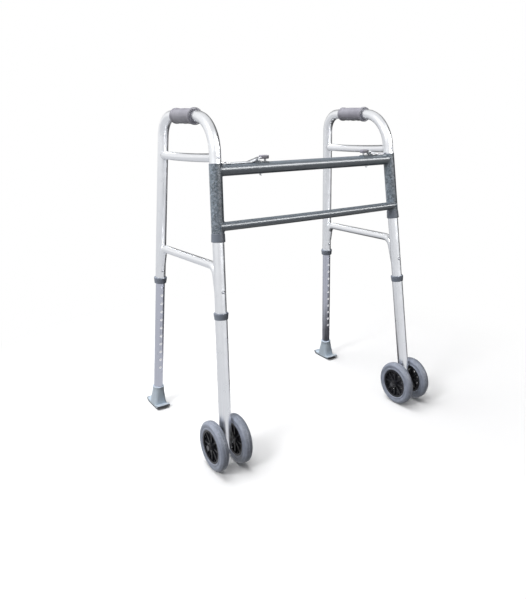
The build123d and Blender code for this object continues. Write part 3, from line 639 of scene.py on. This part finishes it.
def weld(name, place, axis, radius, against, against_axis, against_radius, bead, material, body):
    """A rippled fillet weld where a round tube runs into the side of another.

    The first tube is given by a place on its axis, the axis and its radius, the other in the same way.
    """
    first, second = frame_about(axis)
    heading = axis - against_axis * axis.dot(against_axis)
    centres = []
    for step in range(WELD_STEPS):
        angle = 2 * pi * step / WELD_STEPS
        ray = first * cos(angle) + second * sin(angle)
        start = place + ray * radius - against
        across = start - against_axis * start.dot(against_axis)
        # The line along the first tube's wall meets the other tube where a t^2 + b t + c = 0.
        a = heading.dot(heading)
        b = 2 * heading.dot(across)
        c = across.dot(across) - against_radius**2
        travel = (-b - sqrt(max(b * b - 4 * a * c, 0.0))) / (2 * a)
        point = place + ray * radius + axis * travel
        offset = point - against
        outwards = (offset - against_axis * offset.dot(against_axis)).normalized()
        centres.append((point, ray, outwards))
    points = []
    for index, (point, ray, outwards) in enumerate(centres):
        along = (centres[(index + 1) % WELD_STEPS][0] - centres[index - 1][0]).normalized()
        lean = (ray + outwards).normalized()
        lean = (lean - along * lean.dot(along)).normalized()
        third = along.cross(lean)
        ripple = 1.0 + 0.14 * abs(sin(pi * index * 0.25)) + 0.05 * sin(index * 1.7)
        for turn in range(WELD_RING):
            angle = 2 * pi * turn / WELD_RING
            points.append(point + (lean * cos(angle) + third * sin(angle)) * bead * ripple)
    piece(name, points, grid_faces(WELD_STEPS, WELD_RING, True, True), material, body)


WELD = plated("weld_bead", (0.52, 0.53, 0.55), (0.70, 0.71, 0.73), 0.38)

for side in SIDES:
    fold = joint_place(f"{side}_fold")
    front = leg_axis(side, "front")
    sleeve_outside = reach(f"sleeve_{side}", fold, front)[3]
    outwards = Vector((1, 0, 0)) if side == "right" else Vector((-1, 0, 0))
    for label in ("upper", "lower"):
        low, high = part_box(f"{label}_crossbar")
        radius = (high.z - low.z) / 2
        height = (low.z + high.z) / 2
        at_leg = fold - front * ((fold.z - height) / front.z)
        start = Vector((at_leg.x, high.y - radius, height))
        weld(f"crossbar_weld_{label}_{side}", start, outwards, radius, fold, front, sleeve_outside,
             CROSSBAR_BEAD, PAINT, "front_frame")

for side in SIDES:
    low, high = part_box(f"upper_brace_{side}")
    ends = (
        ("front", joint_place(f"{side}_fold"), high.z - BRACE_RADIUS, -handle_axis(side)),
        ("rear", middle(f"rear_leg_extension_{side}"), low.z + BRACE_RADIUS, handle_axis(side)),
    )
    for end, on_leg, height, towards in ends:
        leg = leg_axis(side, end)
        start = on_leg + leg * ((height - on_leg.z) / leg.z)
        weld(f"brace_weld_{end}_{side}", start, towards, BRACE_RADIUS, on_leg, leg, SIDE_TUBE_RADIUS,
             BRACE_BEAD, WELD, f"{side}_side_frame")


# ---------------------------------------------------------------- lever pads

PAD_COLUMNS = 96  # round a pad
PAD_SQUARENESS = 3.2  # 2 for an oval, more for a squarer outline
PAD_TOP = 0.87  # where the flat top starts, as a share of the half width
PAD_CORE = 0.03  # where the top and the bottom close, the same way
PAD_TOP_STEPS = 24
PAD_DISH = 0.75 * MM  # how deep the top is dished
RIDGE_HEIGHT = 0.32 * MM  # of the ridges across it
RIDGE_PITCH = 3.1 * MM
PAD_PROFILE = (  # shares of the half width and the half height, from below
    (PAD_CORE, -1.0), (0.5, -1.0), (0.86, -1.0), (0.95, -0.94), (0.99, -0.8), (1.0, -0.6),
    (1.0, 0.35), (0.99, 0.62), (0.965, 0.82), (0.92, 0.95), (PAD_TOP, 1.0),
)


def lever_pad(side):
    """Moulded palm pad: rounded slab, dished on top, with cross ridges for the palm."""
    low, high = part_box(f"lever_pad_{side}")
    centre = (low + high) / 2
    half = (high - low) / 2
    inwards = [step / PAD_TOP_STEPS for step in range(1, PAD_TOP_STEPS + 1)]
    profile = [*PAD_PROFILE, *((PAD_TOP - (PAD_TOP - PAD_CORE) * share, 1.0) for share in inwards)]
    points = []
    for scale, rise in profile:
        for column in range(PAD_COLUMNS):
            angle = 2 * pi * column / PAD_COLUMNS
            ray = Vector((cos(angle), sin(angle)))
            power = abs(ray.x) ** PAD_SQUARENESS + abs(ray.y) ** PAD_SQUARENESS
            spread = scale * power ** (-1 / PAD_SQUARENESS)
            x = half.x * ray.x * spread
            y = half.y * ray.y * spread
            z = half.z * rise
            if rise == 1.0:
                inside = min(1.0, (PAD_TOP - scale) / 0.12)
                z += inside * (RIDGE_HEIGHT * cos(2 * pi * x / RIDGE_PITCH) - PAD_DISH)
            points.append(centre + Vector((x, y, z)))
    faces = grid_faces(len(profile), PAD_COLUMNS, False, True)
    last = (len(profile) - 1) * PAD_COLUMNS
    faces += [tuple(reversed(range(PAD_COLUMNS))), tuple(range(last, last + PAD_COLUMNS))]
    body = f"{side}_release_lever"
    piece(f"palm_pad_{side}", points, faces, PAD, body, [f"lever_pad_{side}"])


for side in SIDES:
    lever_pad(side)


# ---------------------------------------------------------------- floor, light and camera

BACK = -0.6002  # the camera's turn about the vertical, radians, from looking along +Y
DOWN = 0.2496  # how far it looks down
ROLL = -0.0054  # its turn about its own line of sight
EYE = Vector((-0.9526, -1.4100, 0.8740))
LONG_SIDE = 600.0
FOCAL = 602.8  # focal length, where the render's long side is LONG_SIDE
SHIFT = (-24.65, -36.2)  # lens shift in the same unit

FLOOR_HALF = 14.0
FLOOR_FADE = (0.5, 1.2)  # distances between which the floor fades into white
FLOOR_BOUNCE = 0.08  # how bright the floor is to the undersides of things
FLOOR_SHINE = 0.80  # how bright it is in reflections
FLOOR_REFLECTED = (0.965, 0.975, 1, 1)  # its colour in them
SURROUND = (0.12, 0.80)  # the surround as light, at camera right and left
MIRRORED = (0.72, 1.05)  # the same in reflections
DARK_RIGHT = (42, 38, 8)  # dark sector: middle, half width and softness, degrees right of straight ahead
DARK_LEFT = (-16, 13, 10)
DARK_RIGHT_DEPTH, DARK_LEFT_DEPTH = 0.96, 0.75  # how dark each gets


def look_from_the_front_left():
    """The camera: it sees the frame from its front left and a little above."""
    data = bpy.data.cameras.new("camera")
    data.sensor_width = 36.0
    data.lens = data.sensor_width * FOCAL / LONG_SIDE
    data.shift_x = SHIFT[0] / LONG_SIDE
    data.shift_y = SHIFT[1] / LONG_SIDE
    data.clip_start = 0.05
    data.clip_end = 100.0
    camera = put_in_scene("camera", data)
    aim = Matrix.Rotation(BACK, 3, "Z") @ Matrix.Rotation(pi / 2 - DOWN, 3, "X")
    turn = aim @ Matrix.Rotation(ROLL, 3, "Z")
    camera.matrix_world = Matrix.Translation(EYE) @ turn.to_4x4()
    bpy.context.scene.camera = camera


def across_view(degrees_right, distance, height=0.0):
    """A place so many degrees right of straight ahead of the camera, measured from the object."""
    heading = BACK - radians(degrees_right)
    return Vector((-sin(heading) * distance, cos(heading) * distance, height))


class Sky(Recipe):
    """Node helpers for the world."""

    def __init__(self, world):
        self.tree = world.node_tree
        self.place = self.add("TexCoord").outputs["Generated"]


def sector(recipe, direction, middle_degrees, half_degrees, soft_degrees):
    """1 where a level direction lies within a sector about the object, 0 outside it."""
    parts = recipe.add("SeparateXYZ", {"Vector": direction}).outputs
    flat = recipe.add("CombineXYZ", {"X": parts["X"], "Y": parts["Y"]}).outputs[0]
    level = recipe.add("VectorMath", {0: flat}, operation="NORMALIZE").outputs[0]
    likeness = recipe.dot(level, tuple(across_view(middle_degrees, 1.0)))
    outside = cos(radians(half_degrees + soft_degrees))
    inside = cos(radians(half_degrees - soft_degrees))
    return recipe.remap(likeness, outside, inside)


def shade_of_surround(recipe, direction):
    """How much of the surround's brightness shiny surfaces see in a direction."""
    right = recipe.math("MULTIPLY", sector(recipe, direction, *DARK_RIGHT), DARK_RIGHT_DEPTH)
    left = recipe.math("MULTIPLY", sector(recipe, direction, *DARK_LEFT), DARK_LEFT_DEPTH)
    return recipe.math("SUBTRACT", recipe.math("SUBTRACT", 1.0, right), left)


def stands_on(side, end):
    """A mark that rides on a leg, where it stands on the floor."""
    if end == "front":
        foot = joint_place(f"{side}_outer_wheel_spin")
    else:
        foot = middle(f"glide_sole_{side}")
    mark = put_in_scene(f"stand_{end}_{side}", None)
    mark.location = (foot.x, foot.y, 0)
    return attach(mark, f"{side}_{end}_leg")


def keep_under_legs(floor):
    """Let the floor stay under the lowest leg when a leg is lengthened."""
    height = floor.driver_add("location", 2).driver
    height.type = "MIN"
    for side in SIDES:
        for end in ("front", "rear"):
            variable = height.variables.new()
            variable.type = "TRANSFORMS"
            variable.targets[0].id = stands_on(side, end)
            variable.targets[0].transform_type = "LOC_Z"
            variable.targets[0].transform_space = "WORLD_SPACE"


def seamless_floor():
    """Pale floor that fades into the white surround and throws little light back up."""
    half = FLOOR_HALF
    mesh = bpy.data.meshes.new("floor")
    corners = [(-half, -half, 0), (half, -half, 0), (half, half, 0), (-half, half, 0)]
    mesh.from_pydata(corners, [], [(0, 1, 2, 3)])
    floor = put_in_scene("floor", mesh)
    keep_under_legs(floor)
    recipe = Recipe("floor", 0.75)
    grain = recipe.noise(3, 3)
    mesh.materials.append(recipe.finish(recipe.mix(grain, (0.86, 0.86, 0.865), (0.89, 0.89, 0.895))))
    path = recipe.add("LightPath").outputs
    distance = recipe.length(recipe.place)
    far = recipe.math("MULTIPLY", recipe.remap(distance, *FLOOR_FADE), path["Is Camera Ray"])
    shine = recipe.math("MULTIPLY", shade_of_surround(recipe, recipe.place), FLOOR_SHINE)
    white = recipe.add("Emission", {"Strength": 1.0}).outputs[0]
    dim = recipe.add("Emission", {"Strength": FLOOR_BOUNCE}).outputs[0]
    mirrored = recipe.add("Emission", {"Color": FLOOR_REFLECTED, "Strength": shine}).outputs[0]
    seen = recipe.shader.outputs[0]
    for factor, other in ((path["Is Diffuse Ray"], dim), (path["Is Glossy Ray"], mirrored), (far, white)):
        seen = recipe.add("MixShader", {0: factor, 1: seen, 2: other}).outputs[0]
    recipe.surface(seen)


def surround():
    """White to the camera, a soft gradient as light, and white with dark sectors in reflections."""
    world = bpy.data.worlds.new("studio")
    bpy.context.scene.world = world
    world.use_nodes = True
    sky = Sky(world)
    path = sky.add("LightPath").outputs
    parts = sky.add("SeparateXYZ", {"Vector": sky.place}).outputs
    leftness = sky.dot(sky.place, tuple(across_view(-90, 1.0)))
    upwards = sky.remap(parts["Z"], -0.15, 0.6, 0.35, 1.0)
    light = sky.math("MULTIPLY", sky.remap(leftness, -0.9, 0.9, *SURROUND), upwards)
    overhead = sky.remap(parts["Z"], 0.45, 0.8)
    shade = sky.math("MAXIMUM", shade_of_surround(sky, sky.place), overhead)
    shine = sky.math("MULTIPLY", shade, sky.remap(leftness, -0.9, 0.9, *MIRRORED))
    lit = sky.add("Mix", {0: path["Is Glossy Ray"], 2: light, 3: shine}).outputs[0]
    seen = sky.add("Mix", {0: path["Is Camera Ray"], 2: lit, 3: 1.0}).outputs[0]
    background = sky.tree.nodes["Background"]
    background.inputs["Color"].default_value = (1, 1, 1, 1)
    sky.tree.links.new(seen, background.inputs["Strength"])


def strip(name, place, length, height, level):
    """A bright upright strip along X that only shiny surfaces see."""
    mesh = bpy.data.meshes.new(name)
    x, z = length / 2, height / 2
    mesh.from_pydata([(-x, 0, -z), (x, 0, -z), (x, 0, z), (-x, 0, z)], [], [(0, 1, 2, 3)])
    card = put_in_scene(name, mesh)
    card.location = place
    card.visible_camera = False
    card.visible_diffuse = False
    card.visible_shadow = False
    recipe = Recipe(name, 1.0)
    recipe.surface(recipe.add("Emission", {"Strength": level}).outputs[0])
    mesh.materials.append(recipe.material)


def softbox(name, place, target, size, power, shiny=True):
    """A large soft square light aimed at a point, seen or not seen in reflections."""
    data = bpy.data.lights.new(name, "AREA")
    data.shape = "RECTANGLE"
    data.size = size
    data.size_y = size
    data.energy = power
    lamp = put_in_scene(name, data)
    lamp.visible_glossy = shiny
    lamp.location = place
    lamp.rotation_euler = (Vector(target) - Vector(place)).to_track_quat("-Z", "Y").to_euler()


def studio():
    """Floor, surround and soft lights."""
    seamless_floor()
    surround()
    softbox("key", across_view(-140, 3.2, 3.0), target=(0, 0, 0.45), size=1.1, power=70)
    softbox("top", across_view(-60, 0.9, 3.4), target=(0, 0, 0.2), size=2.2, power=95, shiny=False)
    strip("bar_highlight", (1.9, -2.6, 1.95), length=3.6, height=1.2, level=13.0)


look_from_the_front_left()
studio()
bpy.context.scene.view_settings.view_transform = "Standard"
